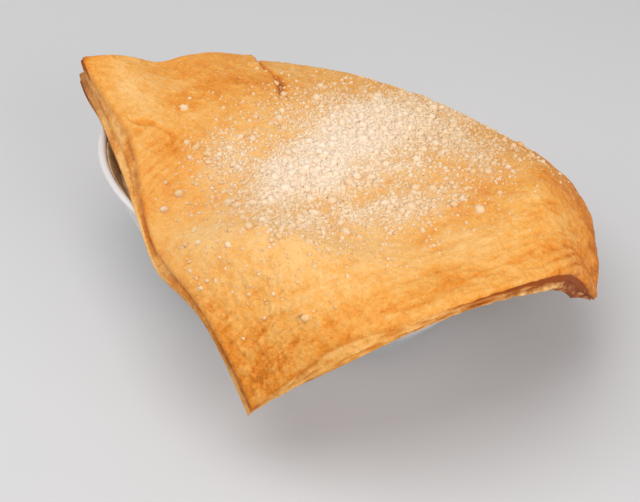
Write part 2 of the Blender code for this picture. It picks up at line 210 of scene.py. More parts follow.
# How dark the pastry is baked, from 0 to 1, with painted light and shade in it: over all,
# added at an edge, streak or lip, painted shadow added in the fold's gap, painted shade added
# for each metre a crease goes in, painted light taken off for each metre that fine relief
# stands out, and a painted highlight taken off over the front rim
TOP_BAKE = 0.36
TOP_EDGE_BAKE = 0.24
TOP_EDGE_REACH = 0.0020
RELIEF_PAINTED_LIGHT = 170.0
CREASE_PAINTED_SHADE = 300.0
FOLD_GAP_PAINTED_SHADOW = 0.90
STREAK_BAKE = 0.16
SHOULDER_PAINTED_HIGHLIGHT = 0.13
CUT_BAKE = 0.40
UPPER_LIP_BAKE = 0.30
LOWER_LIP_BAKE = 0.18

# Patches of the top that are baked darker (above zero) or paler, in sheet coordinates:
# middle, reach and how much
BAKE_PATCHES = (
    ((-0.36, 0.64), (0.26, 0.13), 0.32),
    ((-0.66, 0.62), (0.10, 0.10), 0.20),
    ((-0.44, 0.90), (0.30, 0.07), 0.16),
    ((-0.82, 0.36), (0.10, 0.09), 0.20),
    ((-0.76, 0.00), (0.10, 0.10), 0.26),
    ((-0.70, 0.24), (0.10, 0.06), 0.12),
    ((0.66, -0.45), (0.34, 0.24), 0.20),
    ((0.98, -0.92), (0.36, 0.34), 0.36),
    ((1.00, -0.40), (0.22, 0.66), 0.34),
    ((-0.95, -0.92), (0.30, 0.32), 0.24),
    ((-0.55, -0.90), (0.40, 0.14), 0.12),
    ((0.30, -0.90), (0.50, 0.08), 0.16),
    ((-1.00, 1.00), (0.10, 0.14), 0.26),
    ((-1.00, -0.50), (0.07, 0.50), 0.14),
    ((-0.84, 0.74), (0.12, 0.16), -0.20),
    ((-0.82, -0.22), (0.11, 0.22), -0.34),
    ((-0.24, -0.52), (0.26, 0.10), -0.20),
    ((-0.62, -0.60), (0.22, 0.12), -0.16),
    ((0.00, -0.70), (0.60, 0.09), -0.16),
)

# Heaps of cheese on the top, in sheet coordinates: middle, reach, turn in degrees, depth
CHEESE_HEAPS = (
    ((-0.32, -0.06), (0.32, 0.19), 28, 1.50),
    ((0.12, 0.15), (0.38, 0.20), 22, 1.50),
    ((-0.06, 0.00), (0.56, 0.36), 22, 0.72),
    ((-0.60, 0.12), (0.13, 0.18), 0, 0.52),
    ((-0.50, -0.34), (0.17, 0.13), 0, 0.80),
    ((-0.10, -0.38), (0.30, 0.12), -6, 0.70),
    ((0.40, -0.08), (0.14, 0.26), 0, 0.70),
    ((0.04, 0.38), (0.28, 0.12), 8, 0.36),
    ((0.42, 0.20), (0.12, 0.14), 0, 0.60),
)

# Where the cheese stays white; from there outwards it is toasted and darker with painted shade:
# middle, reach, turn in degrees
TOASTED_AND_SHADED_FROM = ((-0.18, 0.04), (0.50, 0.32), 22)

# Cheese crumbs: how they are scattered, how high they pile up, how deep they lie in the
# pastry and in the heap as a share of their radius, and how much they vary
SCATTER_BATCH = 4000
SCATTER_REACH = (0.95, 0.85)
STRAY_SHARE = 0.0002
PILE_HEIGHT = 0.0006
CRUMB_SINK = 0.05
HEAP_SINK = 0.40
LARGE_CRUMB = 0.0015
CRUMB_STRETCH = (0.72, 1.28)
CRUMB_ROUGHNESS = 0.20

# What the lights aim at, and the camera: its place from the dish's middle, its tilt and turn in
# degrees, and its lens and sensor in millimetres
LIGHT_TARGET = (0.0, 0.0, 0.05)
CAMERA_PLACE = (0.4139, -0.6009, 0.604)
CAMERA_TILT = 51.4
CAMERA_TURN = 33.8
CAMERA_LENS = 90.0
SENSOR_WIDTH = 36.0


# ---- sizes and colours

class PieSizes(bpy.types.PropertyGroup):
    """Sizes of the pie's fine forms."""
    sheet_cells: IntProperty(
        name="Pastry cells", description="Cells along one side of the pastry sheet",
        default=232, min=40, max=260)
    side_rows: IntProperty(
        name="Side rows", description="Rows of faces down the pastry's cut side",
        default=14, min=4, max=30)
    edge_round: FloatProperty(
        name="Edge rounding", description="Radius of the pastry's upper edge",
        default=0.0020, unit="LENGTH")
    flake_depth: FloatProperty(
        name="Flake depth", description="How far single layers stand out of the cut side",
        default=0.0008, unit="LENGTH")
    wrinkle_depth: FloatProperty(
        name="Wrinkle depth", description="Depth of the fine wrinkles on the top",
        default=0.00052, unit="LENGTH")
    blister_height: FloatProperty(
        name="Blister height", description="Height of the small blisters on the top",
        default=0.00050, unit="LENGTH")
    coarse_crumbs: IntProperty(
        name="Coarse crumbs", description="Number of the largest cheese crumbs", default=420)
    medium_crumbs: IntProperty(
        name="Medium crumbs", description="Number of middling cheese crumbs", default=6500)
    fine_crumbs: IntProperty(
        name="Fine crumbs", description="Number of the finest cheese grains", default=9500)


def colour_setting(name, description, default):
    return FloatVectorProperty(
        name=name, description=description, default=default, subtype="COLOR", min=0, max=1)


class PieColours(bpy.types.PropertyGroup):
    """Colours of the pie's finishes, as linear values."""
    pale: colour_setting(
        "Pale pastry", "Pastry where it is baked least", (0.87, 0.510, 0.185))
    golden: colour_setting(
        "Golden pastry", "Pastry as most of it is baked", (0.82, 0.380, 0.080))
    orange: colour_setting(
        "Deep golden pastry", "Pastry in its darker patches", (0.74, 0.240, 0.022))
    brown: colour_setting(
        "Browned pastry", "Pastry at its browned edges", (0.28, 0.058, 0.006))
    layers: colour_setting(
        "Cut layers", "The inside layers that show at the cut", (0.80, 0.41, 0.115))
    cheese: colour_setting(
        "Cheese", "Crumbs and dust of grated cheese", (0.865, 0.730, 0.590))
    porcelain: colour_setting("Porcelain", "The dish's white glaze", (0.68, 0.66, 0.655))
    # The sauce colour is lighter than the sauce's own: painted light for the shaded gap at the wall
    sauce: colour_setting("Sauce", "The brown sauce at the dish's wall", (0.92, 0.62, 0.34))


class PieStage(bpy.types.PropertyGroup):
    """Floor, lights and camera."""
    key_power: FloatProperty(
        name="Key light", description="Power of the large soft light", default=8.5, unit="POWER")
    fill_power: FloatProperty(
        name="Fill light", description="Power of the fill light", default=9.0, unit="POWER")
    side_power: FloatProperty(
        name="Side light", description="Power of the light from the left",
        default=4.0, unit="POWER")
    sky: FloatProperty(
        name="Surroundings", description="Brightness of the pale surroundings", default=0.45)


# ---- shared helpers

def smoothstep(x):
    x = np.clip(x, 0.0, 1.0)
    return x * x * (3.0 - 2.0 * x)


def bell(x, width):
    """One where x is zero, falling away smoothly on both sides."""
    return np.exp(-(x / width) ** 2)


def soft_noise(x, y, seed):
    """Smooth noise from -1 to 1 with one bump for each unit of x and y."""
    size = 128
    table = np.random.default_rng(seed).uniform(-1.0, 1.0, (size, size))
    x = np.asarray(x, dtype=float)
    y = np.asarray(y, dtype=float)
    column = np.floor(x).astype(int)
    row = np.floor(y).astype(int)
    across = smoothstep(x - column)
    up = smoothstep(y - row)
    low = table[column % size, row % size] * (1 - across)
    low = low + table[(column + 1) % size, row % size] * across
    high = table[column % size, (row + 1) % size] * (1 - across)
    high = high + table[(column + 1) % size, (row + 1) % size] * across
    return low * (1 - up) + high * up


def layered_noise(x, y, seed, octaves=3):
    total = np.zeros(np.shape(x))
    for octave in range(octaves):
        turn = 0.6 + octave
        a = x * math.cos(turn) - y * math.sin(turn)
        b = x * math.sin(turn) + y * math.cos(turn)
        total = total + soft_noise(a * 2 ** octave, b * 2 ** octave, seed + octave) / 1.7 ** octave
    return total


def clear_selection():
    if bpy.context.mode != "OBJECT":
        bpy.ops.object.mode_set(mode="OBJECT")
    bpy.ops.object.select_all(action="DESELECT")


def get_points(mesh):
    points = np.empty(len(mesh.vertices) * 3)
    mesh.vertices.foreach_get("co", points)
    return points.reshape(-1, 3)


def set_points(mesh, points):
    mesh.vertices.foreach_set("co", np.ascontiguousarray(points, dtype=float).ravel())
    mesh.update()


def set_attribute(mesh, name, values):
    attribute = mesh.attributes.new(name, "FLOAT", "POINT")
    attribute.data.foreach_set("value", np.ascontiguousarray(values, dtype=np.float32))


def add_object(name, data):
    item = bpy.data.objects.new(name, data)
    bpy.context.scene.collection.objects.link(item)
    return item


def finish_piece(item, material, slot, *replaced):
    """Give a piece its material, hang it on the pie's body and hide the parts it replaces; slot is
    not used.
    """
    item.data.materials.append(material)
    clear_selection()
    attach(item, "root")
    if replaced:
        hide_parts(*replaced)


# ---- materials

class Finish:
    """A material and short ways to add its nodes."""

    def __init__(self, name, roughness):
        self.material = bpy.data.materials.new(name)
        self.material.use_nodes = True
        self.nodes = self.material.node_tree.nodes
        self.links = self.material.node_tree.links
        self.shader = self.nodes["Principled BSDF"]
        self.shader.inputs["Roughness"].default_value = roughness
        self.place = self.nodes.new("ShaderNodeTexCoord").outputs["Object"]

    def connect(self, socket, value):
        """Join an input to an output, or set it to a number or colour."""
        if isinstance(value, bpy.types.NodeSocket):
            self.links.new(value, socket)
        else:
            socket.default_value = (*value, 1.0) if socket.type == "RGBA" else value

    def give(self, node, **values):
        """Connect inputs of a node, by their names with underscores for spaces."""
        for name, value in values.items():
            self.connect(node.inputs[name.replace("_", " ")], value)

    def add(self, kind, **values):
        node = self.nodes.new("ShaderNode" + kind)
        self.give(node, **values)
        return node

    def attribute(self, name):
        node = self.add("Attribute")
        node.attribute_name = name
        return node.outputs["Fac"]

    def noise(self, scale, detail=3.0, roughness=0.55):
        node = self.add(
            "TexNoise", Vector=self.place, Scale=scale, Detail=detail, Roughness=roughness)
        return node.outputs["Fac"]

    def flakes(self, scale, sway):
        """Irregular cells: a value for each cell, and a line that is one between them."""
        wander = self.noise(0.5 * scale, 3.0, 0.5).node
        moved = self.add("VectorMath")
        moved.operation = "MULTIPLY_ADD"
        self.connect(moved.inputs[0], wander.outputs["Color"])
        self.connect(moved.inputs[1], (sway, sway, sway))
        self.connect(moved.inputs[2], self.place)
        cells = self.add("TexVoronoi", Vector=moved.outputs[0], Scale=scale)
        edges = self.add("TexVoronoi", Vector=moved.outputs[0], Scale=scale)
        edges.feature = "DISTANCE_TO_EDGE"
        shade = self.add("SeparateColor", Color=cells.outputs["Color"])
        return shade.outputs[0], self.spread(edges.outputs["Distance"], 0.0, 0.16, 1.0, 0.0)

    def math(self, operation, first, second):
        node = self.add("Math")
        node.operation = operation
        self.connect(node.inputs[0], first)
        self.connect(node.inputs[1], second)
        return node.outputs[0]

    def spread(self, value, low, high, new_low=0.0, new_high=1.0):
        node = self.add("MapRange", Value=value, From_Min=low, From_Max=high)
        self.give(node, To_Min=new_low, To_Max=new_high)
        return node.outputs["Result"]

    def ramp(self, value, stops):
        node = self.add("ValToRGB", Fac=value)
        elements = node.color_ramp.elements
        for number, (position, colour) in enumerate(stops):
            element = elements[number] if number < 2 else elements.new(position)
            element.position = position
            element.color = (*colour, 1.0)
        return node.outputs["Color"]

    def mix(self, share, first, second):
        node = self.add("Mix", Factor=share)
        node.data_type = "RGBA"
        self.connect(node.inputs[6], first)
        self.connect(node.inputs[7], second)
        return node.outputs[2]

    def bump(self, height, depth, **below):
        return self.add("Bump", Height=height, Distance=depth, **below).outputs["Normal"]


def tinted(colour, shares):
    """A colour with each of its three parts multiplied."""
    return tuple(min(part * share, 1.0) for part, share in zip(colour, shares))


def blend(first, second):
    """The colour halfway between two."""
    return tuple(0.5 * (a + b) for a, b in zip(first, second))


def pastry_finish(colours):
    finish = Finish("baked_pastry", 0.5)
    mottle = finish.spread(finish.noise(150.0, 4.0, 0.6), 0.3, 0.7, -0.12, 0.12)
    # The bake level from the mesh also holds painted light and shade, highlight included
    browning_and_shade = finish.math("ADD", finish.attribute("bake_and_shade"), mottle)
    flakes, gaps = finish.flakes(330.0, 0.0030)
    flaky_places = finish.spread(finish.noise(45.0, 3.0), 0.40, 0.60, 0.0, 0.10)
    flaky = finish.math("MULTIPLY", gaps, flaky_places)
    # On the top the cracks between flakes come out darker: painted shade in them; flake and grain
    # tones vary at random
    flake_shade = finish.math("ADD", flaky, finish.spread(flakes, 0.0, 1.0, -0.05, 0.05))
    grain = finish.spread(finish.noise(620.0, 3.0, 0.6), 0.35, 0.65, -0.10, 0.10)
    speck_and_crack_shade = finish.math("ADD", grain, flake_shade)

    dark = blend(colours.orange, colours.brown)
    crust = finish.ramp(finish.math("ADD", browning_and_shade, speck_and_crack_shade), (
        (0.0, colours.pale), (1.0, dark), (0.40, colours.golden), (0.76, colours.orange)))
    leaf = finish.math("ADD", finish.attribute("leaf"), finish.math("MULTIPLY", speck_and_crack_shade, 1.2))
    pale_leaf = tinted(colours.layers, (1.14, 1.30, 1.7))
    layers = finish.ramp(leaf, ((0.25, colours.orange), (0.80, pale_leaf), (0.50, colours.layers)))
    browned_and_shaded = finish.ramp(browning_and_shade, ((0.38, (0.0, 0.0, 0.0)), (0.88, (1.0, 1.0, 1.0))))
    cut_side = finish.mix(browned_and_shaded, layers, colours.brown)
    baked = finish.mix(finish.attribute("cut"), crust, cut_side)

    grains = finish.spread(finish.noise(900.0, 2.0, 0.6), 0.34, 0.58, 0.62, 1.0)
    cover = finish.math("MULTIPLY", finish.attribute("dust"), grains)
    white = finish.spread(finish.attribute("white"), 0.25, 0.85)
    # The dust is tan where the cheese is less white: partly toasted, partly painted shade
    powder = finish.mix(white, tinted(colours.cheese, (0.93, 0.75, 0.46)), colours.cheese)
    finish.give(finish.shader, Base_Color=finish.mix(cover, baked, powder), Specular_IOR_Level=0.12)

    broad = finish.bump(finish.noise(280.0, 4.0, 0.6), 0.0015)
    cracked = finish.bump(finish.math("MULTIPLY", flaky, -1.0), 0.0010, Normal=broad)
    fine = finish.bump(finish.noise(1100.0, 3.0, 0.6), 0.00035, Normal=cracked)
    rough = finish.spread(finish.noise(300.0, 2.0), 0.3, 0.7, 0.42, 0.62)
    finish.give(finish.shader, Normal=fine, Roughness=rough)
    return finish.material


def cheese_finish(colours):
    finish = Finish("grated_cheese", 0.6)
    # Low tone is tan: partly toasted cheese, partly painted shade away from the heap's white middle
    tan = tinted(colours.cheese, (0.86, 0.62, 0.31))
    warm = tinted(colours.cheese, (0.97, 0.88, 0.74))
    stops = ((0.0, tan), (1.0, colours.cheese), (0.45, warm))
    colour = finish.ramp(finish.attribute("tone"), stops)
    grain = finish.bump(finish.noise(1500.0), 0.0002)
    finish.give(finish.shader, Base_Color=colour, Normal=grain)
    return finish.material


def mottled_finish(name, roughness, colour, darkest, mottle, unevenness):
    """One colour, darker in patches and softly uneven.

    Mottle is the patches' scale, detail, and the noise they start and end at; unevenness is
    the scale, detail and depth.
    """
    finish = Finish(name, roughness)
    share = finish.spread(finish.noise(*mottle[:2]), *mottle[2:])
    mixed = finish.mix(share, colour, tinted(colour, (darkest,) * 3))
    uneven = finish.bump(finish.noise(*unevenness[:2]), unevenness[2])
    finish.give(finish.shader, Base_Color=mixed, Normal=uneven)
    return finish.material


def porcelain_finish(colours):
    return mottled_finish(
        "white_porcelain", 0.15, colours.porcelain, 0.975,
        (22.0, 2.0, 0.3, 0.7), (60.0, 1.0, 0.00008))


def sauce_finish(colours):
    return mottled_finish(
        "baked_sauce", 0.32, colours.sauce, 0.55,
        (160.0, 4.0, 0.35, 0.65), (300.0, 3.0, 0.0005))


# ---- the pastry's form

def rim_distance(angle):
    """How far the rim's outer edge is from the dish's middle, in a given direction."""
    across = np.hypot(RIM_HALF_WIDTH * np.cos(angle), RIM_HALF_LENGTH * np.sin(angle))
    return RIM_HALF_LENGTH * RIM_HALF_WIDTH / across


def outward(start, end):
    along = (end - start) / np.linalg.norm(end - start)
    return np.array([along[1], -along[0]])


def flat_sheet(u, v, left_inset=0.0):
    """A point of the undraped sheet, for u and v from -1 to 1."""
    right, back, left, front = (
        np.array(corner) for corner in (RIGHT_CORNER, BACK_CORNER, LEFT_CORNER, FRONT_CORNER)
    )
    s = 0.5 * (np.asarray(u, dtype=float)[..., None] + 1.0)
    t = 0.5 * (np.asarray(v, dtype=float)[..., None] + 1.0)
    point = (1 - s) * (1 - t) * front + s * (1 - t) * right + s * t * back + (1 - s) * t * left
    point = point + s * 4 * t * (1 - t) * RIGHT_EDGE_BOW * outward(right, back)
    point = point + t * 4 * s * (1 - s) * BACK_EDGE_BOW * outward(back, left)
    left_bow = LEFT_EDGE_BOW - left_inset
    point = point + (1 - s) ** 4 * 4 * t * (1 - t) * left_bow * outward(left, front)
    point = point + (1 - t) * 4 * s * (1 - s) * FRONT_EDGE_BOW * outward(front, right)
    near_right = smoothstep((s - 0.88) / 0.12) * smoothstep((0.12 - t) / 0.12)
    return point * (1.0 - RIGHT_CORNER_ROUND * near_right / np.linalg.norm(right))


def blend_round(angle, row_angles, values):
    """Blend one value for each direction smoothly round the full turn."""
    turn = 2.0 * np.pi
    order = np.argsort(np.mod(row_angles, turn))
    at = np.mod(row_angles, turn)[order]
    level = np.asarray(values, dtype=float)[order]
    at = np.concatenate([[at[-1] - turn], at, [at[0] + turn]])
    level = np.concatenate([[level[-1]], level, [level[0]]])
    angle = np.mod(angle, turn)
    row = np.clip(np.searchsorted(at, angle, side="right") - 1, 0, len(at) - 2)
    share = smoothstep((angle - at[row]) / (at[row + 1] - at[row]))
    return level[row] + (level[row + 1] - level[row]) * share


def drape_angles():
    places = np.array([row[0] for row in DRAPE], dtype=float)
    points = flat_sheet(places[:, 0], places[:, 1])
    return np.arctan2(points[:, 1], points[:, 0])


def polar(u, v, left_inset=0.0):
    """Distance and direction of a sheet point from the dish's middle, and the rim there."""
    flat = flat_sheet(u, v, left_inset)
    angle = np.arctan2(flat[..., 1], flat[..., 0])
    return np.hypot(flat[..., 0], flat[..., 1]), angle, rim_distance(angle)


def right_tip(u, v):
    """One at the right corner of the sheet, falling to zero a little way in from it."""
    return smoothstep((u - 0.84) / 0.16) * smoothstep((-v - 0.84) / 0.16)


def patch(u, v, middle, reach, turn=0.0):
    """One inside a soft-edged oval patch of the sheet, falling to zero outside."""
    cos, sin = math.cos(math.radians(turn)), math.sin(math.radians(turn))
    a = ((u - middle[0]) * cos + (v - middle[1]) * sin) / reach[0]
    b = ((v - middle[1]) * cos - (u - middle[0]) * sin) / reach[1]
    return np.exp(-(a ** 2 + b ** 2))


def patches(u, v, rows):
    """The sum of several soft-edged patches."""
    return sum(amount * patch(u, v, middle, reach) for middle, reach, amount in rows)


def draped_top(u, v):
    """The smooth upper face: domed over the dish, bending down or up past the rim."""
    rows = drape_angles()
    distance, angle, rim = polar(u, v, LEFT_EDGE_INSET)
    final_slope = blend_round(angle, rows, [math.radians(row[1]) for row in DRAPE])
    lift = blend_round(angle, rows, [row[2] for row in DRAPE])
    share = np.minimum(distance / rim, 1.0)
    height = DISH_HEIGHT + CRUST_OVER_RIM + DOME_HEIGHT * (1 - share ** 2) + lift * share ** 3
    rim_slope = np.arctan((2.0 * DOME_HEIGHT - 3.0 * lift) / rim)
    past_rim = np.maximum(distance - rim, 0.0)
    steps = (np.arange(DRAPE_STEPS) + 0.5) / DRAPE_STEPS
    bend = 1.0 - np.exp(-past_rim[..., None] * steps / BEND_LENGTH)
    slope = rim_slope[..., None] + (final_slope - rim_slope)[..., None] * bend
    reach = np.minimum(distance, rim) + np.cos(slope).mean(-1) * past_rim
    height = height - np.sin(slope).mean(-1) * past_rim + patches(u, v, SHEET_SHIFTS)
    return np.stack([reach * np.cos(angle), reach * np.sin(angle), height], -1)


def top_normal(u, v, step=0.02):
    along_u = draped_top(u + step, v) - draped_top(u - step, v)
    along_v = draped_top(u, v + step) - draped_top(u, v - step)
    normal = np.cross(along_u, along_v)
    return normal / np.linalg.norm(normal, axis=-1, keepdims=True)


def edge_distance(u, v):
    """How far a point of the sheet is from the nearest cut edge, in metres."""
    return np.minimum(1.0 - np.abs(u), 1.0 - np.abs(v)) * HALF_SIDE


def cheese_depth(u, v):
    """How thickly the cheese lies, from 0 to about 1."""
    total = np.zeros(np.shape(u))
    for middle, reach, turn, depth in CHEESE_HEAPS:
        total = np.maximum(total, depth * patch(u, v, middle, reach, turn))
    ragged = 1.0 + 0.45 * layered_noise(u * 9.0, v * 9.0, 41)
    return np.clip(total * ragged, 0.0, 1.0)


def cheese_white_and_lit(u, v):
    """How white the cheese is, from 0 to 1: toasted and with painted shade towards the edges of its
    heap.
    """
    return cheese_depth(u, v) * (0.25 + 0.75 * patch(u, v, *TOASTED_AND_SHADED_FROM))


def fold_place(u, v):
    """How far a point is along the fold from 0 to 1, and how far to its left."""
    start = np.array(FOLD_START)
    end = np.array(FOLD_END)
    length = np.linalg.norm(end - start)
    along = (end - start) / length
    du = u - start[0] + 0.012 * np.sin(v * 16.0) + 0.010 * soft_noise(v * 14.0, u * 0.0, 5)
    dv = v - start[1]
    run = (du * along[0] + dv * along[1]) / length
    return run, du * along[1] - dv * along[0]


def fold_relief(u, v):
    """A fold that runs in from the back left edge, its left flap higher than its right."""
    run, side = fold_place(u, v)
    fade = 1.0 - smoothstep(run)
    flap = smoothstep((side + 0.004) / 0.016) * np.exp(-np.maximum(side, 0.0) / FOLD_WIDTH)
    return FOLD_HEIGHT * fade * flap - FOLD_GAP_DEPTH * fold_gap(u, v)


def fold_gap(u, v):
    """One in the open gap beside the fold, falling to zero around it."""
    run, side = fold_place(u, v)
    open_part = smoothstep((run + 0.1) / 0.2) * smoothstep((1.10 - run) / 0.25)
    width = FOLD_GAP_WIDTH + 0.010 * run
    return bell(side + FOLD_GAP_WIDTH, width) * open_part


def crimps(turns):
    """Rounded folds with sharp creases between them, about as much above zero as below."""
    return 2.0 * np.abs(np.sin(0.5 * turns)) - 1.27


def crease_relief(u, v):
    """An arc across the left corner, small folds by three edges, rings at the right corner."""
    wander = 0.03 * soft_noise(u * 14.0, v * 14.0, 8)
    from_arc_middle = np.hypot(u - ARC_MIDDLE[0], v - ARC_MIDDLE[1])
    arc = bell(from_arc_middle - ARC_RADIUS - 0.7 * wander, ARC_WIDTH)
    arc = arc * smoothstep((v - 0.30) / 0.20) * smoothstep((0.99 + u) / 0.06)
    hollow = bell(from_arc_middle - ARC_HOLLOW_RADIUS, ARC_HOLLOW_WIDTH)
    hollow = hollow * smoothstep((v - 0.32) / 0.1)
    total = -ARC_DEPTH * arc - ARC_HOLLOW_DEPTH * hollow

    for middle, reach, (start, by_u, by_v), (sway, fast_u, fast_v, seed), height in SMALL_FOLDS:
        turns = start + by_u * u + by_v * v + sway * soft_noise(u * fast_u, v * fast_v, seed)
        total = total + height * crimps(turns) * patch(u, v, middle, reach)

    distance, reach, turns, height = CORNER_RINGS
    from_corner = np.hypot(u - 1.0, v + 1.0)
    sway = 2.0 * soft_noise(u * 7.0, v * 7.0, 9)
    return total + height * crimps(from_corner * turns + sway) * bell(from_corner - distance, reach)


def streak_lines(u, v):
    """One along thin wandering streaks near the front edge, zero between them."""
    sway = 0.5 * soft_noise(u * 5.0, v * 5.0, 14)
    lines = layered_noise(u * 3.2 + 9.0, v * 21.0 + sway, 15, 2)
    strength = smoothstep((-0.28 - v) / 0.35) * (0.55 + 0.45 * soft_noise(u * 4.0, v * 9.0, 16))
    return bell(lines, 0.22) * strength


def fine_relief(u, v, sizes):
    """Wrinkles along the front edge, small blisters and a flaky unevenness all over."""
    warp = 0.05 * soft_noise(u * 9.0, v * 9.0, 12)
    ridges = 1.0 - 2.2 * np.abs(layered_noise(u * 6.0 + warp, (v + 0.25 * warp) * 30.0, 13, 2))
    front = smoothstep((-0.30 - v) / 0.4)
    streaks = streak_lines(u, v)
    veins = 1.0 - 2.0 * np.abs(layered_noise(u * 15.0 + warp, v * 15.0, 17, 3))
    wrinkles = sizes.wrinkle_depth * (0.5 * ridges * front + 0.55 * veins - 0.6 * streaks)
    blisters = np.maximum(layered_noise(u * 48.0, v * 48.0, 23) - 0.05, 0.0)
    corner = 1.0 + 1.2 * patch(u, v, (-1.0, -1.0), (0.6, 0.6))
    return wrinkles + sizes.blister_height * blisters * corner


def broad_relief(u, v):
    """Swells and hollows, and a soft unevenness all over."""
    total = patches(u, v, TOP_SWELLS)
    for bumps, height, seed in SURFACE_ROLLS:
        total = total + height * soft_noise(u * bumps + ROLL_OFFSET, v * bumps + ROLL_OFFSET, seed)
    return total


def stretches(along, places):
    """How far an edge is moved at a point along it, from a list of soft-ended stretches."""
    total = np.zeros(np.shape(along))
    for middle, reach, amount in places:
        total = total + amount * bell(along - middle, reach)
    return total / HALF_SIDE


def drawn_in(u, v):
    """Sheet coordinates of the upper face, drawn in along its left and front edges."""
    left = stretches(v, LEFT_TOP_DRAWN_IN) * smoothstep((-u - 0.7) / 0.3)
    front = stretches(u, FRONT_TOP_DRAWN_IN) * smoothstep((-v - 0.7) / 0.3)
    return u + left, v + front


def top_face(u, v, sizes):
    """The upper face with its relief, and its edge rounded over."""
    inside = 0.25 + 0.75 * smoothstep(edge_distance(u, v) / EDGE_ROUND_REACH)
    small = crease_relief(u, v) + fine_relief(u, v, sizes)
    relief = broad_relief(u, v) + fold_relief(u, v) + small * inside
    relief = relief + CHEESE_THICKNESS * cheese_depth(u, v)
    radius = sizes.edge_round * (1.0 + 0.8 * smoothstep((-u - 0.9) / 0.1))
    inward = np.maximum(radius - edge_distance(u, v), 0.0)
    rounded = radius - np.sqrt(np.maximum(radius ** 2 - inward ** 2, 0.0))
    return draped_top(*drawn_in(u, v)) + top_normal(u, v) * (relief - rounded)[..., None]


def bottom_face(u, v):
    """The lower face: level inside the rim, then one thickness below the drape."""
    rows = np.array([math.atan2(row[0][1], row[0][0]) for row in DRAPE])
    thickness = blend_round(np.arctan2(v, u), rows, [row[3] for row in DRAPE])
    foot = LEFT_EDGE_SPLAY + stretches(v, LEFT_FOOT_SPREAD)
    near_left = smoothstep((-u - 0.6) / 0.4)
    set_back = LEFT_TIP_SET_BACK * near_left * smoothstep((v - 0.6) / 0.4)
    thickness = thickness * (1.0 - RIGHT_TIP_THINNING * right_tip(u, v))
    hanging = draped_top(u - foot * near_left, v - set_back) - top_normal(u, v) * thickness[..., None]
    flat = flat_sheet(u, v)
    level = np.concatenate([flat, np.full(flat.shape[:-1] + (1,), DISH_HEIGHT + GAP)], -1)
    distance, _, rim = polar(u, v)
    share = smoothstep((distance - rim) / UNDERSIDE_BLEND)[..., None]
    return level * (1.0 - share) + hanging * share


def edge_direction(u, v, step=0.02):
    """The direction that points from the sheet's middle out past its edge."""
    outer = draped_top(u * (1 + step), v * (1 + step))
    along = outer - draped_top(u * (1 - step), v * (1 - step))
    return along / np.maximum(np.linalg.norm(along, axis=-1, keepdims=True), 1e-9)


def side_place(u, v):
    """How far a point of the cut side is along its edge, and a number for the edge."""
    across = np.abs(v) > np.abs(u)
    along = np.where(across, u, v) * HALF_SIDE
    return along, np.where(across, 0.5 * np.sign(v), np.sign(u)) * RIGHT_SIDE


def leaf_tone(u, v, layer):
    """Thin uneven leaves of the cut side, from about -1 to 1."""
    along, edge = side_place(u, v)
    left = edge == LEFT_SIDE
    length = np.where(left, *LEAF_LENGTH)
    rows = np.where(left, *LEAF_ROWS)
    leaves = soft_noise(along / length + 3.0 * edge, layer * rows + edge, 29)
    flakes = soft_noise(along / (0.3 * length), layer * 8.0 + edge + 0.8 * leaves, 31)
    return 0.6 * leaves + np.where(left, 0.3, 0.6) * flakes


def side_relief(u, v, layer, sizes):
    """The cut side: a soft swell with a groove, made up of thin uneven leaves."""
    along, edge = side_place(u, v)
    left = edge == LEFT_SIDE
    swell = np.where(left, *SIDE_SWELL) * np.sin(np.pi * layer)
    sway = 0.06 * soft_noise(along / 0.03, edge, 33)
    groove = np.where(left, *SIDE_GROOVE) * np.cos(4.0 * np.pi * (layer - 0.5 + sway))
    hollow = patches(u, v, END_HOLLOWS) * np.sin(np.pi * layer) ** 2
    shreds = soft_noise(along / SHRED_LENGTH, layer * 14.0 + edge, 37)
    depth = sizes.flake_depth * np.where(left, 0.22, np.where(edge == RIGHT_SIDE, 0.25, 1.0))
    depth = depth * (1.0 - 0.8 * right_tip(u, v))
    ends = np.clip(np.minimum(layer, 1.0 - layer) * 12.0, 0.0, 1.0)
    rough = depth * (1.2 * leaf_tone(u, v, layer) + 0.3 * shreds)
    return swell - hollow + ends * (rough - groove * (1.0 - splay(u, v)))


def sheet_points(u, v, layer, sizes):
    """Points of the pastry, with layer from 0 on the lower face to 1 on the upper."""
    lower = bottom_face(u, v)
    upper = top_face(u, v, sizes)
    point = lower + (upper - lower) * layer[..., None]
    point = point + edge_direction(u, v) * side_relief(u, v, layer, sizes)[..., None]
    return point + np.array(MIDDLE)


def splay(u, v):
    """One where the layers of the front edge spread out, so that the cut goes on as the top."""
    return patch(u, v, *SPLAY)


def top_bake_and_shade(u, v, sizes):
    """How dark the top is baked, from 0 to 1, with painted shade, light and highlight in it."""
    near_edge = np.exp(-edge_distance(u, v) / TOP_EDGE_REACH)
    level = TOP_BAKE + TOP_EDGE_BAKE * near_edge + patches(u, v, BAKE_PATCHES)
    distance, _, rim = polar(u, v)
    # Painted highlight: the pastry is made paler along the ridge just past the front rim
    shoulder_highlight = smoothstep((-v - 0.05) / 0.3) * bell(distance - rim - 0.004, 0.010)
    level = level - SHOULDER_PAINTED_HIGHLIGHT * shoulder_highlight
    level = level + 0.10 * layered_noise(u * 5.0, v * 5.0, 51)
    level = level + 0.07 * layered_noise(u * 17.0, v * 17.0, 57)
    # Painted shadow: the gap beside the fold is made darker
    level = level + FOLD_GAP_PAINTED_SHADOW * fold_gap(u, v) + STREAK_BAKE * streak_lines(u, v)
    # Painted light and shade: paler where the fine relief stands out, darker where it sinks
    level = level - RELIEF_PAINTED_LIGHT * fine_relief(u, v, sizes)
    # Painted shade: darker where the creases and small folds go in
    return level - CREASE_PAINTED_SHADE * np.minimum(crease_relief(u, v), 0.0)


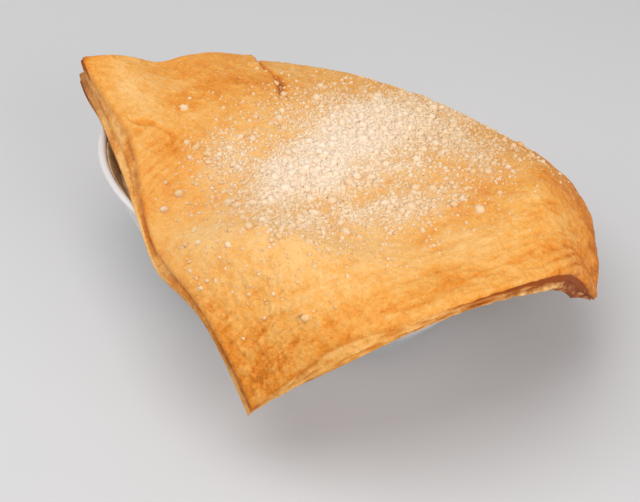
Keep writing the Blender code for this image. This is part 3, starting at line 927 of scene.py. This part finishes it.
def cut_bake_and_shade(u, v, layer):
    """How dark the cut side is baked, from 0 to 1: most at its lips and at its ends, with painted
    shade on the front cut's right part.
    """
    along, edge = side_place(u, v)
    leaf = leaf_tone(u, v, layer)
    broken = 0.55 + 0.45 * soft_noise(along / 0.009, edge, 43)
    upper_lip = bell(layer - 0.92, 0.08) * (1.0 - splay(u, v))
    lower_lip = bell(layer, 0.12)
    level = CUT_BAKE + (UPPER_LIP_BAKE * upper_lip + LOWER_LIP_BAKE * lower_lip) * broken
    level = level - (0.16 + 0.14 * splay(u, v)) * leaf

    left_tip = patch(u, v, (-1.0, 1.0), (0.10, 0.16))
    front_tip = patch(u, v, (-1.0, -1.0), (0.12, 0.22))
    level = level + 0.30 * left_tip * (0.7 + 0.5 * broken) + 0.16 * front_tip

    on_front = smoothstep((np.abs(v) - np.abs(u)) / 0.02 + 1.0)
    # The front cut's right part and its end by the right corner are browned, and darker still with
    # painted shade, as under an overhang
    front_cut = smoothstep((-v - 0.9) / 0.1) * smoothstep(u + 0.5)
    level = level + 0.08 * on_front + front_cut * (0.20 + 0.34 * upper_lip - 0.14 * leaf)
    end = patch(u, v, (0.84, -1.0), (0.36, 0.16)) * on_front
    return level + end * (0.24 + 0.40 * smoothstep(2.4 * layer - 1.1) - 0.12 * leaf)


def bake_and_shade_level(u, v, layer, sizes):
    level = np.where(layer > 0.999, top_bake_and_shade(u, v, sizes), cut_bake_and_shade(u, v, layer))
    return np.clip(level, 0.0, 1.0)


# ---- pieces

def select_where(mesh, kind, test):
    """Select only the edges or faces that pass a test."""
    bpy.ops.mesh.select_mode(type=kind)
    bpy.ops.mesh.select_all(action="DESELECT")
    shape = bmesh.from_edit_mesh(mesh)
    for part in shape.edges if kind == "EDGE" else shape.faces:
        part.select_set(test(part))
    bmesh.update_edit_mesh(mesh)


def add_sheet_grid(cells, side_rows):
    """A grid of faces as wide as the sheet's own coordinates, one layer unit high."""
    clear_selection()
    bpy.ops.mesh.primitive_grid_add(x_subdivisions=cells, y_subdivisions=cells, size=2.0)
    item = bpy.context.object
    item.name = "pastry"
    item.data.name = "pastry"
    bpy.ops.object.mode_set(mode="EDIT")
    bpy.ops.mesh.select_all(action="SELECT")
    bpy.ops.mesh.extrude_region_move(TRANSFORM_OT_translate={"value": (0, 0, 1)})
    select_where(item.data, "EDGE", lambda edge: edge.verts[0].co.z != edge.verts[1].co.z)
    bpy.ops.mesh.subdivide(number_cuts=side_rows - 1)
    bpy.ops.mesh.select_all(action="SELECT")
    bpy.ops.mesh.normals_make_consistent(inside=False)
    bpy.ops.object.mode_set(mode="OBJECT")
    return item


def join_level_faces(item):
    """Make one face of the level underside, which lies on the filling and the rim."""
    level = DISH_HEIGHT + GAP
    bpy.ops.object.mode_set(mode="EDIT")
    select_where(
        item.data, "FACE",
        lambda face: all(abs(vertex.co.z - level) < 1e-6 for vertex in face.verts))
    bpy.ops.mesh.dissolve_faces()
    bpy.ops.mesh.quads_convert_to_tris()
    bpy.ops.object.mode_set(mode="OBJECT")


class PIE_OT_pastry(bpy.types.Operator):
    """Make the draped sheet of puff pastry"""
    bl_idname = "pie.make_pastry"
    bl_label = "Pastry"

    def execute(self, context):
        sizes = context.scene.pie_sizes
        item = add_sheet_grid(sizes.sheet_cells, sizes.side_rows)
        sheet = get_points(item.data)
        closer = EDGE_CROWDING / math.pi
        u = np.clip(sheet[:, 0] + closer * np.sin(math.pi * sheet[:, 0]), -1.0, 1.0)
        v = np.clip(sheet[:, 1] + closer * np.sin(math.pi * sheet[:, 1]), -1.0, 1.0)
        layer = sheet[:, 2]
        set_points(item.data, sheet_points(u, v, layer, sizes))
        on_top = layer > 0.999
        set_attribute(item.data, "bake_and_shade", bake_and_shade_level(u, v, layer, sizes))
        set_attribute(item.data, "cut", np.where(on_top, 0.0, 1.0 - 0.7 * splay(u, v)))
        at_left = u < -0.999
        shade = np.where(at_left, 0.34, 0.50) * leaf_tone(u, v, layer)
        set_attribute(item.data, "leaf", np.where(at_left, 0.44, 0.52) + shade)
        cover = np.minimum(1.5 * cheese_depth(u, v), 1.0)
        set_attribute(item.data, "dust", np.where(on_top, cover, 0.0))
        set_attribute(item.data, "white", cheese_white_and_lit(u, v))
        join_level_faces(item)
        item.data.shade_smooth()
        finish_piece(item, pastry_finish(context.scene.pie_colours), "pastry", "crust")
        return {"FINISHED"}


def crumb_shape(subdivisions):
    """One rough crumb of about unit radius: its points and faces."""
    clear_selection()
    bpy.ops.mesh.primitive_ico_sphere_add(subdivisions=subdivisions, radius=1.0)
    item = bpy.context.object
    points = get_points(item.data)
    faces = np.array([face.vertices[:] for face in item.data.polygons])
    bpy.data.objects.remove(item)
    return points, faces


def scatter(rng, count, weight_power):
    """Random places on the sheet, more of them where the cheese lies thickly."""
    found_u = []
    found_v = []
    while len(found_u) < count:
        u = rng.uniform(-SCATTER_REACH[0], SCATTER_REACH[0], SCATTER_BATCH)
        v = rng.uniform(-SCATTER_REACH[1], SCATTER_REACH[1], SCATTER_BATCH)
        chance = cheese_depth(u, v) ** weight_power + STRAY_SHARE
        keep = rng.uniform(0.0, 1.0, SCATTER_BATCH) < chance
        found_u.extend(u[keep])
        found_v.extend(v[keep])
    return np.array(found_u[:count]), np.array(found_v[:count])


def random_turns(rng, count):
    """Random rotation matrices, evenly spread."""
    q = rng.normal(size=(count, 4))
    q = q / np.linalg.norm(q, axis=1, keepdims=True)
    w, x, y, z = q.T
    rows = (
        (1 - 2 * (y * y + z * z), 2 * (x * y - z * w), 2 * (x * z + y * w)),
        (2 * (x * y + z * w), 1 - 2 * (x * x + z * z), 2 * (y * z - x * w)),
        (2 * (x * z - y * w), 2 * (y * z + x * w), 1 - 2 * (x * x + y * y)),
    )
    return np.array(rows).transpose(2, 0, 1)


def make_crumbs(name, count, radius_range, subdivisions, seed, sizes, weight_power):
    """Crumbs of one kind, joined in one mesh and lying on the pastry."""
    rng = np.random.default_rng(seed)
    points, faces = crumb_shape(subdivisions)
    u, v = scatter(rng, count, weight_power)
    radius = radius_range[0] + (radius_range[1] - radius_range[0]) * rng.random(count) ** 1.8
    stretch = rng.uniform(*CRUMB_STRETCH, (count, 1, 3)) * radius[:, None, None]
    rough = 1.0 + rng.uniform(-CRUMB_ROUGHNESS, CRUMB_ROUGHNESS, (count, len(points), 1))
    shapes = points[None] * rough * stretch
    shapes = np.einsum("nij,nkj->nki", random_turns(rng, count), shapes)
    piled = cheese_depth(u, v) * rng.random(count) * PILE_HEIGHT
    sink = CRUMB_SINK + HEAP_SINK * cheese_depth(u, v) * (radius < LARGE_CRUMB)
    rise = piled - sink * radius
    middle = top_face(u, v, sizes) + top_normal(u, v) * rise[:, None] + np.array(MIDDLE)
    shapes = shapes + middle[:, None, :]
    all_faces = faces[None] + (np.arange(count) * len(points))[:, None, None]
    mesh = bpy.data.meshes.new(name)
    mesh.from_pydata(shapes.reshape(-1, 3), [], all_faces.reshape(-1, 3))
    mesh.shade_smooth()
    # Tone: random, plus the heap's whiteness, which is partly toasting and partly painted shade
    tone = 0.36 * rng.random(count) + 0.62 * cheese_white_and_lit(u, v)
    set_attribute(mesh, "tone", np.repeat(tone, len(points)))
    return add_object(name, mesh)


class PIE_OT_crumbs(bpy.types.Operator):
    """Scatter the grated cheese: coarse crumbs, middling crumbs and fine grains"""
    bl_idname = "pie.make_crumbs"
    bl_label = "Cheese crumbs"

    def execute(self, context):
        sizes = context.scene.pie_sizes
        cheese = cheese_finish(context.scene.pie_colours)
        kinds = (
            ("coarse_crumbs", sizes.coarse_crumbs, (0.0012, 0.0026), 2, 61, 0.9),
            ("medium_crumbs", sizes.medium_crumbs, (0.00075, 0.00145), 1, 62, 1.1),
            ("fine_crumbs", sizes.fine_crumbs, (0.00035, 0.00075), 1, 63, 0.9),
        )
        for name, count, radius, subdivisions, seed, power in kinds:
            item = make_crumbs(name, count, radius, subdivisions, seed, sizes, power)
            finish_piece(item, cheese, "cheese")
        return {"FINISHED"}


def wall_share(z):
    """The dish's outer size at height z, as a share of the rim's."""
    rise = np.minimum(np.asarray(z) / (DISH_HEIGHT - LIP_ROUND), 1.0)
    bulge = WALL_BULGE * np.sin(np.pi * rise) * (1.0 - rise)
    return FOOT_SHARE + (1.0 - FOOT_SHARE) * (rise + bulge)


def inner_wall(z):
    """The mean radius of the dish's inner wall at height z."""
    return MEAN_RIM * wall_share(z) - WALL


def turned_oval(name, profile):
    """Spin a profile round Z at the rim's mean radius, then stretch it to the oval."""
    clear_selection()
    mesh = bpy.data.meshes.new(name)
    points = [(float(r), 0.0, float(z)) for r, z in profile]
    mesh.from_pydata(points, [(i, i + 1) for i in range(len(points) - 1)], [])
    item = add_object(name, mesh)
    bpy.context.view_layer.objects.active = item
    item.select_set(True)
    bpy.ops.object.mode_set(mode="EDIT")
    bpy.ops.mesh.select_all(action="SELECT")
    bpy.ops.mesh.spin(steps=OVAL_STEPS, angle=2.0 * math.pi, center=(0, 0, 0), axis=(0, 0, 1))
    bpy.ops.mesh.select_all(action="SELECT")
    bpy.ops.mesh.remove_doubles(threshold=0.00002)
    bpy.ops.mesh.normals_make_consistent(inside=False)
    bpy.ops.object.mode_set(mode="OBJECT")
    set_points(mesh, get_points(mesh) * OVAL)
    mesh.shade_smooth()
    return item


def move_to_middle(item):
    set_points(item.data, get_points(item.data) + np.array(MIDDLE))


class PIE_OT_dish(bpy.types.Operator):
    """Make the oval porcelain dish with its rounded lip and foot ring"""
    bl_idname = "pie.make_dish"
    bl_label = "Dish"

    def execute(self, context):
        floor_radius = inner_wall(FLOOR_TOP)
        foot = MEAN_RIM * FOOT_SHARE
        lip_middle = MEAN_RIM - 0.5 * WALL
        turns = np.radians(np.linspace(180.0, 0.0, 13))
        profile = [(0.0, FLOOR_TOP), (0.5 * floor_radius, FLOOR_TOP)]
        profile.append((floor_radius - FLOOR_ROUND, FLOOR_TOP))
        profile.append((floor_radius - 0.003, FLOOR_TOP + 0.0012))
        for z in np.linspace(FLOOR_TOP + 0.004, LIP_START, 22):
            profile.append((inner_wall(z), z))
        for turn in turns:
            across = lip_middle + 0.5 * WALL * math.cos(turn)
            profile.append((across, DISH_HEIGHT - LIP_ROUND + LIP_ROUND * math.sin(turn)))
        for z in np.linspace(LIP_START, FOOT_HEIGHT + 0.0015, 22):
            profile.append((MEAN_RIM * wall_share(z), z))
        profile += [
            (foot + 0.0004, FOOT_HEIGHT),
            (foot, FOOT_HEIGHT - 0.001),
            (foot, 0.0008),
            (foot - 0.0003, 0.0002),
            (foot - 0.0009, 0.0),
            (foot - FOOT_RING_WIDTH, 0.0),
            (foot - FOOT_RING_WIDTH - 0.0012, FOOT_RECESS),
            (0.0, FOOT_RECESS),
        ]
        item = turned_oval("porcelain_dish", profile)
        item.data.set_sharp_from_angle(angle=math.radians(50))
        move_to_middle(item)
        finish_piece(item, porcelain_finish(context.scene.pie_colours), "porcelain", "dish")
        return {"FINISHED"}


class PIE_OT_sauce(bpy.types.Operator):
    """Make the filling with its lumpy sauce, and the sauce baked onto the wall"""
    bl_idname = "pie.make_sauce"
    bl_label = "Sauce"

    def execute(self, context):
        finish = sauce_finish(context.scene.pie_colours)
        finish_piece(self.filling(), finish, "sauce", "filling")
        finish_piece(self.wall_film(), finish, "sauce")
        return {"FINISHED"}

    def filling(self):
        """The filling: level over the middle, sloping down to the sauce line at the wall."""
        edge = inner_wall(SAUCE_LINE) - SAUCE_GAP
        profile = [(0.0, DISH_HEIGHT), (0.5 * (edge - SAUCE_SLOPE), DISH_HEIGHT)]
        for share in np.linspace(0.0, 1.0, 30):
            drop = (DISH_HEIGHT - SAUCE_LINE) * float(smoothstep(share))
            profile.append((edge - SAUCE_SLOPE * (1.0 - share), DISH_HEIGHT - drop))
        for z in np.linspace(SAUCE_LINE - 0.003, FLOOR_TOP + 0.005, 12):
            profile.append((inner_wall(z) - SAUCE_GAP, z))
        profile.append((inner_wall(FLOOR_TOP) - FLOOR_ROUND, FLOOR_TOP + GAP))
        profile.append((0.0, FLOOR_TOP + GAP))
        item = turned_oval("sauce_filling", profile)
        points = get_points(item.data)
        sloping = (points[:, 2] > SAUCE_LINE - 0.001) & (points[:, 2] < DISH_HEIGHT - 0.0005)
        lumps = layered_noise(points[:, 0] / 0.006, points[:, 1] / 0.006, 71)
        points[:, 2] -= np.where(sloping, SAUCE_LUMPS * (lumps + 1.0), 0.0)
        set_points(item.data, points)
        move_to_middle(item)
        return item

    def wall_film(self):
        """A thin uneven film on the inner wall where the crust leaves a gap."""
        start, end = np.radians(FILM_STRETCH)
        angles = np.linspace(start, end, 110)
        angle, height = np.meshgrid(angles, np.linspace(0, 1, 7), indexing="ij")
        top = FILM_TOP + FILM_UNEVENNESS * layered_noise(angle * 9.0, angle * 0.0, 73)
        ends = smoothstep((angle - start) / 0.2) * smoothstep((end - angle) / 0.2)
        z = SAUCE_LINE - 0.0008 + (top * ends + 0.0008) * height
        radius = inner_wall(z) - FILM_THICKNESS * (1.0 - height ** 2) - 0.00012
        points = np.stack([radius * np.cos(angle), radius * np.sin(angle), z], -1) * OVAL
        rows, columns = angle.shape
        corner = np.arange(rows - 1)[:, None] * columns + np.arange(columns - 1)
        faces = corner.reshape(-1, 1) + (0, 1, columns + 1, columns)
        mesh = bpy.data.meshes.new("wall_film")
        mesh.from_pydata((points + np.array(MIDDLE)).reshape(-1, 3), [], faces)
        mesh.shade_smooth()
        item = add_object("wall_film", mesh)
        bpy.context.view_layer.objects.active = item
        solid = item.modifiers.new("Thickness", "SOLIDIFY")
        solid.thickness = 0.0003
        solid.offset = 1.0
        bpy.ops.object.modifier_apply(modifier=solid.name)
        return item


def plain_finish(name, colour, roughness):
    finish = Finish(name, roughness)
    finish.give(finish.shader, Base_Color=colour)
    return finish.material


def add_area_light(name, place, size, power, colour=(1.0, 1.0, 1.0)):
    data = bpy.data.lights.new(name, "AREA")
    data.shape = "SQUARE"
    data.size = size
    data.energy = power
    data.color = colour
    light = add_object(name, data)
    light.location = MIDDLE + Vector(place)
    aim = MIDDLE + Vector(LIGHT_TARGET) - light.location
    light.rotation_euler = aim.to_track_quat("-Z", "Y").to_euler()


class PIE_OT_stage(bpy.types.Operator):
    """Set the pale floor, the soft lights and the camera"""
    bl_idname = "pie.make_stage"
    bl_label = "Stage"

    def execute(self, context):
        stage = context.scene.pie_stage
        clear_selection()
        bpy.ops.mesh.primitive_plane_add(size=6.0, location=(0, 0, 0))
        floor = context.object
        floor.name = "floor"
        floor.data.materials.append(plain_finish("pale_floor", (0.60, 0.60, 0.61), 0.7))
        self.add_surroundings(context, stage.sky)
        add_area_light("key", (-0.15, -0.20, 1.2), 1.1, stage.key_power, (1.0, 0.98, 0.95))
        add_area_light("fill", (1.15, -0.35, 0.50), 0.9, stage.fill_power)
        add_area_light("side", (-1.0, -0.6, 0.5), 0.8, stage.side_power)
        self.add_camera(context)
        return {"FINISHED"}

    def add_surroundings(self, context, strength):
        world = bpy.data.worlds.new("pale_surroundings")
        world.use_nodes = True
        background = world.node_tree.nodes["Background"]
        background.inputs["Color"].default_value = (1.0, 1.0, 1.0, 1.0)
        background.inputs["Strength"].default_value = strength
        context.scene.world = world
        context.scene.view_settings.view_transform = "Standard"

    def add_camera(self, context):
        data = bpy.data.cameras.new("camera")
        data.lens = CAMERA_LENS
        data.sensor_width = SENSOR_WIDTH
        camera = add_object("camera", data)
        camera.location = MIDDLE + Vector(CAMERA_PLACE)
        camera.rotation_euler = (math.radians(CAMERA_TILT), 0.0, math.radians(CAMERA_TURN))
        context.scene.camera = camera


class PIE_PT_panel(bpy.types.Panel):
    """Lists the pie's sizes, colours and steps"""
    bl_label = "Pot Pie"
    bl_idname = "PIE_PT_panel"
    bl_space_type = "VIEW_3D"
    bl_region_type = "UI"
    bl_category = "Pot Pie"

    def draw(self, context):
        layout = self.layout
        for place, group in GROUPS.items():
            box = layout.box()
            for name in group.__annotations__:
                box.prop(getattr(context.scene, place), name)
        for step in STEPS:
            layout.operator(step.bl_idname)


STEPS = (PIE_OT_dish, PIE_OT_sauce, PIE_OT_pastry, PIE_OT_crumbs, PIE_OT_stage)
GROUPS = {"pie_sizes": PieSizes, "pie_colours": PieColours, "pie_stage": PieStage}
CLASSES = (*GROUPS.values(), *STEPS, PIE_PT_panel)


def register():
    for item in CLASSES:
        bpy.utils.register_class(item)
    for place, group in GROUPS.items():
        setattr(bpy.types.Scene, place, PointerProperty(type=group))


def unregister():
    for place in GROUPS:
        delattr(bpy.types.Scene, place)
    for item in reversed(CLASSES):
        bpy.utils.unregister_class(item)


def main():
    register()
    bpy.ops.pie.make_dish()
    bpy.ops.pie.make_sauce()
    bpy.ops.pie.make_pastry()
    bpy.ops.pie.make_crumbs()
    bpy.ops.pie.make_stage()


if __name__ == "__main__":
    main()
